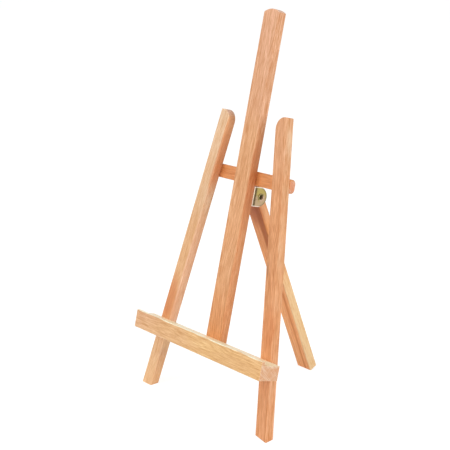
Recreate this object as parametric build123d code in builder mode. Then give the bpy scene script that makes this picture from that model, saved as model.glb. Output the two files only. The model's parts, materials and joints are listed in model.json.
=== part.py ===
from build123d import *

import os
from math import cos, radians, sin, tan

# Small wooden display easel: three flat uprights, a ledge in front, a crossbar behind, and a
# rear leg that turns on a rivet in a metal bracket.
#
# Millimetres, +Z up, X to the right of someone who faces the easel, Y away from them.
# The origin is on the table, at the centre of the easel's box.
#
# Heights are measured up the sloping front of the uprights, from the table: "up". Depths are
# measured square to that front, backwards: "back".

# ---- Stance ---------------------------------------------------------------------------------
lean_angle = 18.3              # the front frame leans back this far from upright
opening_angle = 34.0           # between the front frame and the opened rear leg
splay_angle = 9.9              # each stile runs outwards from the mast's line

# ---- Front frame ----------------------------------------------------------------------------
frame_depth = 10.0             # the mast and the stiles are planed to one thickness
eased_edge = 0.8               # rounding of the long wooden edges

mast_width = 25.0
mast_top = 441.5
mast_dome_rise = 3.5           # the crown of the mast's top above its shoulders

stile_width = 17.0
left_stile_top = 328.5
right_stile_top = 330.7
stile_top_flat = 3.0           # level part of a stile's top, outside its round shoulder
foot_half_span = 112.0         # from the easel's centre line to the outer edge of each foot
right_foot_bevel = 9.0         # the right foot is cut off level by this angle, inner side up

ledge_bottom = 65.5
ledge_height = 16.0            # up to its seat
ledge_depth = 25.0
lip_rise = 4.2                 # of the lip along the ledge's front, above the seat
lip_depth = 4.0
ledge_overhang = 13.0          # past the stiles' outer edges, at mid height of the ledge

crossbar_centre = 260.5
crossbar_height = 15.0
crossbar_depth = 7.5
crossbar_corner_radius = 5.0   # rounding of its ends, seen from the front
crossbar_overhang = 0.5        # past the stiles' outer edges, at mid height of the crossbar

# ---- Hinge bracket, bent from one strip of sheet -------------------------------------------
sheet = 1.0
bend_radius = 0.6              # inside of each bend
ear_radius = 10.8              # round end of each ear, and half of its height
ear_depth = 19.0               # from the back of the mast to the ear's round end
bracket_gap = 0.8              # between the bracket and the crossbar above it
ear_clearance = 0.25           # between each ear and the side of the leg
fold_clearance = 2.9           # between the folded leg and the bracket's screw heads

# ---- Rear leg -------------------------------------------------------------------------------
leg_width = 23.0
leg_depth = 10.0
leg_foot_bevel = 8.0           # the heel is cut off square by this angle, so the toe bears
stop_clearance = 0.1           # between the opened leg's top edge and the bracket's web

# ---- Rivet ----------------------------------------------------------------------------------
rivet_radius = 2.75
rivet_bore_radius = 2.3
rivet_mouth_round = 0.8        # rolled inner lip of each flange
rivet_flange_radius = 4.3
rivet_flange_thickness = 0.9
rivet_flange_round = 0.4       # outer edge of each flange
running_clearance = 0.05       # round the rivet, in the leg and in the ears

# ---- Screws ---------------------------------------------------------------------------------
screw_fit = 0.03               # round each screw, in its hole
screw_tip_length = 3.0
pilot_extra = 0.5              # each blind hole goes this much deeper than its screw
countersink_angle = 90.0

frame_screw_radius = 1.5       # crossbar to uprights
frame_screw_head_radius = 3.0
frame_tip_cover = 2.5          # wood left between a screw's tip and the front of the frame

ledge_screw_radius = 1.75
ledge_screw_head_radius = 3.4
ledge_tip_cover = 7.0          # wood left between a screw's tip and the front of the ledge

bracket_screw_radius = 1.5
bracket_screw_head_radius = 2.75
bracket_screw_head_height = 2.0
bracket_screw_rim_height = 0.7 # straight rim below the head's crown
bracket_tip_cover = 2.0        # wood left between a screw's tip and the front of the mast

mast_screw_pitch = 12.0        # between the two screws side by side in the mast
bracket_screw_drop = 5.6       # of the bracket's screws below the pivot

recess_width = 0.9             # cross recess in every screw head
recess_depth = 1.3
recess_taper = 8.0             # its walls lean inwards by this angle
recess_share = 1.15            # length of its two slots, as a share of the head's radius

cut_past = 5.0                 # every cutter runs this far past what it cuts

# ---- What follows from the sizes ------------------------------------------------------------
mast_bottom = ledge_bottom
ledge_centre = ledge_bottom + ledge_height / 2
crossbar_bottom = crossbar_centre - crossbar_height / 2
bracket_half_width = leg_width / 2 + ear_clearance + sheet
pivot_up = crossbar_bottom - bracket_gap - ear_radius
pivot_from_web = leg_depth / 2 + fold_clearance + bracket_screw_head_height
pivot_back = frame_depth + sheet + pivot_from_web
leg_angle = opening_angle - lean_angle
stile_breadth = stile_width / cos(radians(splay_angle))


def stile_outer_edge(up: float) -> float:
    """Distance of a stile's outer edge from the centre line, at a height up the front."""
    return foot_half_span - up * tan(radians(splay_angle))


def stile_centre(up: float) -> float:
    """Distance of a stile's middle from the centre line, at a height up the front."""
    return stile_outer_edge(up) - stile_breadth / 2


# The origin lies halfway between the ledge's front edge and the leg's heel. Both are first
# found from the point on the table below the front of the uprights.
lean_cos, lean_sin = cos(radians(lean_angle)), sin(radians(lean_angle))
leg_cos, leg_sin = cos(radians(leg_angle)), sin(radians(leg_angle))
pivot_y = pivot_up * lean_sin + pivot_back * lean_cos
pivot_z = pivot_up * lean_cos - pivot_back * lean_sin
leg_reach = (pivot_z - leg_depth / 2 * leg_sin) / leg_cos
heel_rise = leg_depth * tan(radians(leg_foot_bevel))
heel_y = pivot_y + (leg_reach - heel_rise) * leg_sin + leg_depth / 2 * leg_cos
ledge_front_y = ledge_bottom * lean_sin - ledge_depth * lean_cos
front_line_y = -(heel_y + ledge_front_y) / 2

# The opened leg leans its top front edge on the bracket's web. This is how far that edge
# stands above the pivot along the leg.
opening_cos, opening_sin = cos(radians(opening_angle)), sin(radians(opening_angle))
edge_to_web = pivot_from_web - stop_clearance - eased_edge
leg_above_pivot = eased_edge + (
    edge_to_web - (leg_depth / 2 - eased_edge) * opening_cos
) / opening_sin

# ---- Working planes -------------------------------------------------------------------------
# Front of the uprights: local x is X, local y is "up", and the plane faces forwards.
front = Plane(
    origin=(0, front_line_y, 0), x_dir=(1, 0, 0), z_dir=(0, -lean_cos, lean_sin)
)
# Side of the front frame at the centre line: local x is "back", local y is "up".
frame_side = Plane(
    origin=(0, front_line_y, 0), x_dir=(0, lean_cos, -lean_sin), z_dir=(1, 0, 0)
)
# Side of the leg, with the pivot at its origin: local y runs up the leg, local x backwards.
leg_side = Plane(
    origin=(0, front_line_y + pivot_y, pivot_z), x_dir=(0, leg_cos, leg_sin), z_dir=(1, 0, 0)
)


def driven_from_behind(x: float, up: float, back: float) -> Location:
    """Place on the back of the frame whose Z axis faces backwards, for a screw or its hole."""
    origin = front.from_local_coords(Vector(x, up, -back))
    return Plane(origin=origin, x_dir=(1, 0, 0), z_dir=-front.z_dir).location


# ---- Where the screws go --------------------------------------------------------------------
mast_screw_xs = (-mast_screw_pitch / 2, mast_screw_pitch / 2)

stile_crossbar_x = stile_centre(crossbar_centre)
stile_ledge_x = stile_centre(ledge_centre)
crossbar_back = frame_depth + crossbar_depth
crossbar_screw_xs = (-stile_crossbar_x, *mast_screw_xs, stile_crossbar_x)
ledge_screw_xs = (-stile_ledge_x, *mast_screw_xs, stile_ledge_x)
crossbar_screw_places = [
    driven_from_behind(x, crossbar_centre, crossbar_back) for x in crossbar_screw_xs
]
ledge_screw_places = [
    driven_from_behind(x, ledge_centre, frame_depth) for x in ledge_screw_xs
]
bracket_screw_places = [
    driven_from_behind(x, pivot_up - bracket_screw_drop, frame_depth + sheet)
    for x in mast_screw_xs
]
in_the_mast = slice(1, 3)      # the middle two of each row of four screws

frame_screw_length = crossbar_back - frame_tip_cover
ledge_screw_length = frame_depth + ledge_depth - ledge_tip_cover
bracket_screw_length = sheet + frame_depth - bracket_tip_cover


def recess_cutter(head_radius: float) -> Part:
    """Cross recess that goes down from the origin, for the top of a screw's head."""
    slot_length = head_radius * recess_share
    with BuildPart() as cutter:
        with BuildSketch():
            Rectangle(slot_length, recess_width)
            Rectangle(recess_width, slot_length)
        extrude(amount=-recess_depth, taper=recess_taper)
    return cutter.part


def countersunk_screw(radius: float, head_radius: float, length: float) -> Part:
    """Wood screw with a flat head whose top is at the origin and whose point is at -Z."""
    head_depth = (head_radius - radius) / tan(radians(countersink_angle / 2))
    with BuildPart() as screw:
        with BuildSketch(Plane.XZ):
            with BuildLine():
                Polyline(
                    (0, 0),
                    (head_radius, 0),
                    (radius, -head_depth),
                    (radius, screw_tip_length - length),
                    (0, -length),
                    close=True,
                )
            make_face()
        revolve(axis=Axis.Z)
        add(recess_cutter(head_radius), mode=Mode.SUBTRACT)
    return screw.part


def pan_head_screw(radius: float, head_radius: float, length: float) -> Part:
    """Wood screw with a domed head that stands on the origin, and its point at -Z."""
    crown = (0, bracket_screw_head_height)
    rim = (head_radius, bracket_screw_rim_height)
    with BuildPart() as screw:
        with BuildSketch(Plane.XZ):
            with BuildLine():
                TangentArc(crown, rim, tangent=(1, 0))
                Polyline(
                    rim,
                    (head_radius, 0),
                    (radius, 0),
                    (radius, screw_tip_length - length),
                    (0, -length),
                    crown,
                )
            make_face()
        revolve(axis=Axis.Z)
        with Locations((0, 0, bracket_screw_head_height)):
            add(recess_cutter(head_radius), mode=Mode.SUBTRACT)
    return screw.part


# ---- Mast -----------------------------------------------------------------------------------
mast_side = mast_width / 2
mast_shoulder = mast_top - mast_dome_rise
with BuildPart() as mast:
    with BuildSketch(front):
        with BuildLine():
            Polyline(
                (-mast_side, mast_shoulder),
                (-mast_side, mast_bottom),
                (mast_side, mast_bottom),
                (mast_side, mast_shoulder),
            )
            ThreePointArc((mast_side, mast_shoulder), (0, mast_top), (-mast_side, mast_shoulder))
        make_face()
    extrude(amount=-frame_depth)
    fillet(mast.edges(), radius=eased_edge)
    with Locations(crossbar_screw_places[in_the_mast]):
        Hole(frame_screw_radius + screw_fit, depth=frame_screw_length + pilot_extra)
    with Locations(bracket_screw_places):
        Hole(bracket_screw_radius + screw_fit, depth=bracket_screw_length + pilot_extra)
    with Locations(ledge_screw_places[in_the_mast]):
        CounterSinkHole(
            ledge_screw_radius + screw_fit,
            ledge_screw_head_radius + screw_fit,
            depth=ledge_screw_length,
            counter_sink_angle=countersink_angle,
        )
mast.part.label = "mast"


# ---- Stiles ---------------------------------------------------------------------------------
def build_stile(side: int, top: float, foot_bevel: float, label: str) -> Part:
    """Splayed upright on the left (side -1) or the right (side +1) of the mast.

    Its foot is cut level with the table, then tipped by the bevel about its outer edge.
    """
    below = -cut_past
    shoulder_radius = (stile_breadth - stile_top_flat) * tan(radians((90 - splay_angle) / 2))
    foot_corner = (side * foot_half_span, front_line_y, 0)
    foot_normal = (side * sin(radians(foot_bevel)), 0, cos(radians(foot_bevel)))
    inner_top = (side * (stile_outer_edge(top) - stile_breadth), top)
    with BuildPart() as stile:
        with BuildSketch(front) as outline:
            with BuildLine():
                Polyline(
                    inner_top,
                    (side * stile_outer_edge(top), top),
                    (side * stile_outer_edge(below), below),
                    (side * (stile_outer_edge(below) - stile_breadth), below),
                    close=True,
                )
            make_face()
            inner_corner = outline.vertices().group_by(Axis.Y)[-1].sort_by(Axis.X)
            fillet(inner_corner[0 if side > 0 else -1], radius=shoulder_radius)
        extrude(amount=-frame_depth)
        split(bisect_by=Plane(origin=foot_corner, z_dir=foot_normal), keep=Keep.TOP)
        sawn_foot = stile.faces().sort_by(Axis.Z)[0]
        fillet(stile.edges() - sawn_foot.edges(), radius=eased_edge)
        with Locations(driven_from_behind(side * stile_crossbar_x, crossbar_centre, crossbar_back)):
            Hole(frame_screw_radius + screw_fit, depth=frame_screw_length + pilot_extra)
        with Locations(driven_from_behind(side * stile_ledge_x, ledge_centre, frame_depth)):
            CounterSinkHole(
                ledge_screw_radius + screw_fit,
                ledge_screw_head_radius + screw_fit,
                depth=ledge_screw_length,
                counter_sink_angle=countersink_angle,
            )
    stile.part.label = label
    return stile.part


left_stile = build_stile(-1, left_stile_top, 0.0, "left_stile")
right_stile = build_stile(1, right_stile_top, right_foot_bevel, "right_stile")

# ---- Ledge ----------------------------------------------------------------------------------
ledge_length = 2 * (stile_outer_edge(ledge_centre) + ledge_overhang)
seat_depth = ledge_depth - lip_depth
with BuildPart() as ledge:
    with BuildSketch(front):
        with Locations((0, ledge_centre)):
            Rectangle(ledge_length, ledge_height)
    extrude(amount=ledge_depth)
    with BuildSketch(front.offset(seat_depth)):
        with Locations((0, ledge_bottom)):
            Rectangle(ledge_length, ledge_height + lip_rise, align=(Align.CENTER, Align.MIN))
    extrude(amount=lip_depth)
    fillet(ledge.edges(), radius=eased_edge)
    with Locations(ledge_screw_places):
        Hole(ledge_screw_radius + screw_fit, depth=ledge_screw_length + pilot_extra)
ledge.part.label = "ledge"

# ---- Crossbar -------------------------------------------------------------------------------
crossbar_length = 2 * (stile_outer_edge(crossbar_centre) + crossbar_overhang)
with BuildPart() as crossbar:
    with BuildSketch(front.offset(-frame_depth)):
        with Locations((0, crossbar_centre)):
            RectangleRounded(crossbar_length, crossbar_height, crossbar_corner_radius)
    extrude(amount=-crossbar_depth)
    fillet(crossbar.edges(), radius=eased_edge)
    with Locations(crossbar_screw_places):
        CounterSinkHole(
            frame_screw_radius + screw_fit,
            frame_screw_head_radius + screw_fit,
            depth=frame_screw_length,
            counter_sink_angle=countersink_angle,
        )
crossbar.part.label = "crossbar"

# ---- Hinge bracket --------------------------------------------------------------------------
up_axis = Axis((0, 0, 0), front.y_dir)
back_axis = Axis((0, 0, 0), -front.z_dir)
ear_straight = ear_depth - ear_radius
bracket_cut = (ear_depth + cut_past, 2 * (ear_radius + cut_past))
with BuildPart() as hinge_bracket:
    with BuildSketch(frame_side):
        with Locations((frame_depth + ear_straight, pivot_up)):
            Circle(ear_radius)
            Rectangle(ear_straight, 2 * ear_radius, align=(Align.MAX, Align.CENTER))
        with Locations((frame_depth, pivot_up)):
            Rectangle(*bracket_cut, align=(Align.MAX, Align.CENTER), mode=Mode.SUBTRACT)
    extrude(amount=bracket_half_width, both=True)
    with BuildSketch(frame_side):
        with Locations((frame_depth + sheet, pivot_up)):
            Rectangle(*bracket_cut, align=(Align.MIN, Align.CENTER))
    extrude(amount=bracket_half_width - sheet, both=True, mode=Mode.SUBTRACT)
    bends = hinge_bracket.edges().filter_by(up_axis).group_by(back_axis)
    fillet(bends[0], radius=bend_radius + sheet)
    fillet(bends[1], radius=bend_radius)
    with BuildSketch(leg_side):
        Circle(rivet_radius + running_clearance)
    extrude(amount=bracket_half_width + cut_past, both=True, mode=Mode.SUBTRACT)
    with Locations(bracket_screw_places):
        Hole(bracket_screw_radius + screw_fit, depth=sheet + cut_past)
hinge_bracket.part.label = "hinge_bracket"

# ---- Rear leg -------------------------------------------------------------------------------
with BuildPart() as rear_leg:
    with BuildSketch(leg_side):
        with BuildLine():
            Polyline(
                (-leg_depth / 2, leg_above_pivot),
                (-leg_depth / 2, -leg_reach),
                (leg_depth / 2, heel_rise - leg_reach),
                (leg_depth / 2, leg_above_pivot),
                close=True,
            )
        make_face()
    extrude(amount=leg_width / 2, both=True)
    sawn_foot = rear_leg.faces().sort_by(Axis.Z)[0]
    fillet(rear_leg.edges() - sawn_foot.edges(), radius=eased_edge)
    with BuildSketch(leg_side):
        Circle(rivet_radius + running_clearance)
    extrude(amount=leg_width / 2 + cut_past, both=True, mode=Mode.SUBTRACT)
rear_leg.part.label = "rear_leg"

# ---- Rivet ----------------------------------------------------------------------------------
with BuildPart() as hinge_rivet:
    with BuildSketch(leg_side):
        Circle(rivet_radius)
    extrude(amount=bracket_half_width, both=True)
    for direction in (-1, 1):
        with BuildSketch(leg_side.offset(direction * bracket_half_width)):
            Circle(rivet_flange_radius)
        extrude(amount=direction * rivet_flange_thickness)
    ends = hinge_rivet.faces().filter_by(Axis.X).sort_by(Axis.X)
    fillet([*ends[0].edges(), *ends[-1].edges()], radius=rivet_flange_round)
    with BuildSketch(leg_side):
        Circle(rivet_bore_radius)
    extrude(
        amount=bracket_half_width + rivet_flange_thickness + cut_past,
        both=True,
        mode=Mode.SUBTRACT,
    )
    mouths = [
        hinge_rivet.edges().group_by(Axis.X)[end].sort_by(SortBy.RADIUS)[0] for end in (0, -1)
    ]
    fillet(mouths, radius=rivet_mouth_round)
hinge_rivet.part.label = "hinge_rivet"

# ---- Screws ---------------------------------------------------------------------------------
frame_screw = countersunk_screw(frame_screw_radius, frame_screw_head_radius, frame_screw_length)
with BuildPart() as crossbar_screws:
    with Locations(crossbar_screw_places):
        add(frame_screw)
crossbar_screws.part.label = "crossbar_screws"

ledge_screw = countersunk_screw(ledge_screw_radius, ledge_screw_head_radius, ledge_screw_length)
with BuildPart() as ledge_screws:
    with Locations(ledge_screw_places):
        add(ledge_screw)
ledge_screws.part.label = "ledge_screws"

bracket_screw = pan_head_screw(
    bracket_screw_radius, bracket_screw_head_radius, bracket_screw_length
)
with BuildPart() as bracket_screws:
    with Locations(bracket_screw_places):
        add(bracket_screw)
bracket_screws.part.label = "bracket_screws"

# ---- Files ----------------------------------------------------------------------------------
pieces = [
    mast.part,
    left_stile,
    right_stile,
    ledge.part,
    crossbar.part,
    hinge_bracket.part,
    rear_leg.part,
    hinge_rivet.part,
    crossbar_screws.part,
    ledge_screws.part,
    bracket_screws.part,
]
os.makedirs("parts", exist_ok=True)
for piece in pieces:
    export_step(piece, f"parts/{piece.label}.step")
    box = piece.bounding_box()
    print(f"{piece.label:16} volume {piece.volume:9.1f}  from {box.min}  to {box.max}")
print("pivot", leg_side.origin, " fold", -opening_angle, " ledge length", round(ledge_length, 2))
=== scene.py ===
"""Looks of a small folding display easel: its finishes, small metal parts, light and camera."""

import json
import logging
import math
import random
from collections.abc import Callable, Iterator, Sequence
from dataclasses import dataclass
from enum import Enum

import bmesh
import bpy
from mathutils import Matrix, Vector

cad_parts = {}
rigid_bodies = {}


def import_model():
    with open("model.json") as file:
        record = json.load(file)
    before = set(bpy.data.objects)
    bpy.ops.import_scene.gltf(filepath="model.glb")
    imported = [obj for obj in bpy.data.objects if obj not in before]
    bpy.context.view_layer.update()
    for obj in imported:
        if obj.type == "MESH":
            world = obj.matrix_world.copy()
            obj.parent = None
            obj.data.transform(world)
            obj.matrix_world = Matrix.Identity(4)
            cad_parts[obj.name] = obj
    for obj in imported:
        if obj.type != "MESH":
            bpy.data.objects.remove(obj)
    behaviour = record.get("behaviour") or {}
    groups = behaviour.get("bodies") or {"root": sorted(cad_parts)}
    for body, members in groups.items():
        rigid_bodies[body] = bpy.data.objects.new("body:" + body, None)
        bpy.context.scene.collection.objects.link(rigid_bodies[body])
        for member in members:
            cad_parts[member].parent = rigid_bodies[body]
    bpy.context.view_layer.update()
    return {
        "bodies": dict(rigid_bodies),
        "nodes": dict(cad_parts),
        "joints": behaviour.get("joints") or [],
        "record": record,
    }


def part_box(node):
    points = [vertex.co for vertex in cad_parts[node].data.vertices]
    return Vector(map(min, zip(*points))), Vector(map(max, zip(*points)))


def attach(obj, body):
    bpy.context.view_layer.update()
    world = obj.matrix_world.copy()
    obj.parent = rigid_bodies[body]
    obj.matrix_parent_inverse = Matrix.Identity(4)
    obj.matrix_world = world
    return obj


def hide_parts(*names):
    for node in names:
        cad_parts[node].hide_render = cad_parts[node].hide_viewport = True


log = logging.getLogger("easel")

Colour = tuple[float, float, float]
Triple = tuple[float, float, float]
Point = tuple[float, float]
Limits = tuple[float, ...]
Wire = bpy.types.NodeSocket
Outputs = bpy.types.NodeOutputs

MM = 0.001
RIGHT = Vector((1.0, 0.0, 0.0))
FRONT_BODY = "front_frame"
SLIVER = 0.001  # millimetres: points of a cut shape that lie closer than this become one


# ---- Node trees -------------------------------------------------------------------------
class Slope(Enum):
    """How a ramp runs between its two ends."""

    ROUNDED = "SMOOTHSTEP"
    STRAIGHT = "LINEAR"


class Tree:
    """Short-hand for building a shader node tree."""

    # The Mix node has sockets of the same names for numbers and for colours, so the ones for
    # colours are found by number.
    mix_inputs = (0, 6, 7)
    mix_output = 2
    # A noise is 0.5 on average, and nearly all of it lies between these two.
    noise_mean = 0.5
    noise_ends = (0.2, 0.8)

    def __init__(self, tree: bpy.types.NodeTree) -> None:
        """Take over a tree and clear it.

        Args:
            tree: The node tree of a material, a world or a group.
        """
        self.tree = tree
        self.tree.nodes.clear()

    def node(self, kind: str, **values: object) -> bpy.types.Node:
        """Add a node.

        Args:
            kind: The node's type name without "ShaderNode".
            values: Properties of the node, or values and links for its inputs by name, with
                "_" for a space.

        Returns:
            The new node.
        """
        made = self.tree.nodes.new(kind if kind.startswith("Node") else "ShaderNode" + kind)
        for name, value in values.items():
            if hasattr(made, name):
                setattr(made, name, value)
            else:
                self.feed(made.inputs[name.replace("_", " ")], value)
        return made

    def feed(self, socket: Wire, value: object) -> None:
        """Give an input a value, or a link if the value is another node's output.

        Args:
            socket: The input.
            value: A number, a colour, a vector or an output socket.
        """
        if isinstance(value, Wire):
            self.tree.links.new(value, socket)
        elif socket.type == "RGBA" and len(value) == 3:
            socket.default_value = (*value, 1.0)
        else:
            socket.default_value = value

    def math(self, operation: str, *terms: object, clamp: bool = False) -> Wire:
        """Calculate with numbers.

        Args:
            operation: A Math node's operation.
            terms: Its one to three inputs.
            clamp: Whether the result is kept between 0 and 1.

        Returns:
            The result.
        """
        made = self.node("Math", operation=operation, use_clamp=clamp)
        for socket, term in zip(made.inputs, terms):
            self.feed(socket, term)
        return made.outputs[0]

    def vector(self, operation: str, *terms: object) -> Wire:
        """Calculate with vectors.

        Args:
            operation: A Vector Math node's operation.
            terms: Its vector inputs.

        Returns:
            The result, a number for a length or a dot product.
        """
        made = self.node("VectorMath", operation=operation)
        sockets = [socket for socket in made.inputs if socket.type == "VECTOR"]
        for socket, term in zip(sockets, terms):
            self.feed(socket, term)
        return made.outputs["Value" if operation in ("LENGTH", "DOT_PRODUCT") else "Vector"]

    def parts(self, vector: Wire) -> Outputs:
        """Take a vector apart into X, Y and Z."""
        return self.node("SeparateXYZ", Vector=vector).outputs

    def spin(self, vector: Wire, axis: str, angle_deg: float) -> Wire:
        """Turn a place about one of its axes.

        Args:
            vector: The place.
            axis: The axis, X, Y or Z.
            angle_deg: How far it turns.

        Returns:
            The turned place.
        """
        made = self.node("VectorRotate", rotation_type=axis + "_AXIS", Vector=vector,
                         Angle=math.radians(angle_deg))
        return made.outputs[0]

    def ramp(
        self,
        value: Wire,
        low: float,
        high: float,
        to_low: float = 0.0,
        to_high: float = 1.0,
        slope: Slope = Slope.ROUNDED,
    ) -> Wire:
        """Map one range of a number to another.

        Args:
            value: The number.
            low: Where the range starts.
            high: Where the range ends.
            to_low: The result at low.
            to_high: The result at high.
            slope: How the result runs between them.

        Returns:
            The result, clamped to its own range.
        """
        made = self.node("MapRange", interpolation_type=slope.value, Value=value)
        for name, limit in zip(("From Min", "From Max", "To Min", "To Max"),
                               (low, high, to_low, to_high)):
            made.inputs[name].default_value = limit
        return made.outputs[0]

    def noise(
        self,
        vector: Wire,
        grain: Triple,
        seed: object,
        detail: float = 2.0,
        roughness: float = 0.5,
    ) -> Wire:
        """Make a cloudy pattern with its own size along each axis.

        Args:
            vector: The place on the piece, in millimetres.
            grain: The length of the pattern's clouds along x, y and z, in millimetres.
            seed: Number or output that picks one pattern among many.
            detail: How many finer patterns are laid over the first.
            roughness: How strong those are.

        Returns:
            The pattern.
        """
        made = self.node(
            "TexNoise",
            noise_dimensions="4D",
            Vector=self.vector("MULTIPLY", vector, tuple(1.0 / length for length in grain)),
            W=seed,
            Scale=1.0,
            Detail=detail,
            Roughness=roughness,
        )
        return made.outputs[0]

    def wander(
        self, vector: Wire, grain: Triple, seed: object, reach: float, detail: float = 2.0
    ) -> Wire:
        """Make a distance that wanders to both sides of zero.

        Args:
            vector: The place on the piece, in millimetres.
            grain: How long it keeps to one side along x, y and z, in millimetres.
            seed: Number or output that picks one pattern among many.
            reach: How far it goes at most to either side.
            detail: How many finer patterns are laid over the first.

        Returns:
            The distance.
        """
        cloud = self.noise(vector, grain, seed, detail)
        return self.ramp(cloud, *self.noise_ends, -reach, reach, Slope.STRAIGHT)

    def mix(self, factor: object, below: object, above: object) -> Wire:
        """Lay one colour over another.

        Args:
            factor: How much of the upper colour shows.
            below: The lower colour.
            above: The upper colour.

        Returns:
            The mixed colour.
        """
        made = self.node("Mix", data_type="RGBA", clamp_result=True)
        for index, value in zip(self.mix_inputs, (factor, below, above)):
            self.feed(made.inputs[index], value)
        return made.outputs[self.mix_output]

    def tint(self, colour: Wire | Colour, amount: Wire, pull: Colour) -> Wire:
        """Make a colour paler or deeper, more in some of its channels than in others.

        Args:
            colour: The colour.
            amount: How far, from about -0.5 for deeper to 0.5 for paler.
            pull: How strongly red, green and blue follow.

        Returns:
            The changed colour.
        """
        spread = self.node("CombineXYZ", X=amount, Y=amount, Z=amount).outputs[0]
        change = self.vector("MULTIPLY_ADD", spread, pull, (1.0, 1.0, 1.0))
        return self.vector("MULTIPLY", colour, change)

    def off_axis(self, place: Wire) -> Wire:
        """Measure how far a place is from the x axis."""
        return self.vector("LENGTH", self.vector("MULTIPLY", place, (0.0, 1.0, 1.0)))

    def surface(
        self,
        colour: Wire,
        dullness: Wire,
        roughness: Point,
        height: Wire,
        relief: Point,
        metal: object = 0.0,
    ) -> None:
        """End a material with its shader.

        Args:
            colour: The surface's colour.
            dullness: Where the surface lies between its smoothest, 0, and its roughest, 1.
            roughness: How rough it is at those two ends.
            height: The pattern of its relief.
            relief: How strongly the relief shows, and its depth in millimetres.
            metal: How much of the surface is bare metal.
        """
        strength, depth = relief
        bump = self.node("Bump", Strength=strength, Distance=depth * MM, Height=height)
        shader = self.node(
            "BsdfPrincipled",
            Base_Color=colour,
            Metallic=metal,
            Roughness=self.ramp(dullness, 0.0, 1.0, *roughness, Slope.STRAIGHT),
            Normal=bump.outputs[0],
        )
        self.node("OutputMaterial", Surface=shader.outputs[0])


def blank_material(name: str) -> tuple[bpy.types.Material, Tree]:
    """Make a material with an empty tree.

    Args:
        name: The material's name.

    Returns:
        The material and its tree.
    """
    made = bpy.data.materials.new(name)
    made.use_nodes = True
    return made, Tree(made.node_tree)


class Socket(Enum):
    """Kinds of group sockets."""

    VALUE = "NodeSocketFloat"
    VECTOR = "NodeSocketVector"
    COLOUR = "NodeSocketColor"


class NodeGroup:
    """A shader node group that is built once and placed in many materials."""

    title = ""
    inputs: dict[str, Socket] = {}
    outputs: dict[str, Socket] = {}

    def __init__(self) -> None:
        """Make the group's sockets, then its nodes."""
        made = bpy.data.node_groups.new(self.title, "ShaderNodeTree")
        for way, sockets in (("INPUT", self.inputs), ("OUTPUT", self.outputs)):
            for name, kind in sockets.items():
                made.interface.new_socket(name, in_out=way, socket_type=kind.value)
        self.group = made
        tree = Tree(made)
        entry = tree.node("NodeGroupInput")
        leave = tree.node("NodeGroupOutput")
        for name, value in self.build(tree, entry.outputs).items():
            tree.feed(leave.inputs[name], value)

    def build(self, tree: Tree, given: Outputs) -> dict[str, Wire]:
        """Build the nodes inside the group.

        Args:
            tree: The group's tree.
            given: The group's inputs.

        Returns:
            What each of the group's named outputs puts out.
        """
        raise NotImplementedError

    def place(self, tree: Tree, **values: object) -> Outputs:
        """Put the group in a material.

        Args:
            tree: The material's tree.
            values: Values and links for the group's inputs, with "_" for a space.

        Returns:
            The placed group's outputs.
        """
        made = tree.node("Group", node_tree=self.group)
        for name, value in values.items():
            tree.feed(made.inputs[name.replace("_", " ")], value)
        return made.outputs


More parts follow.
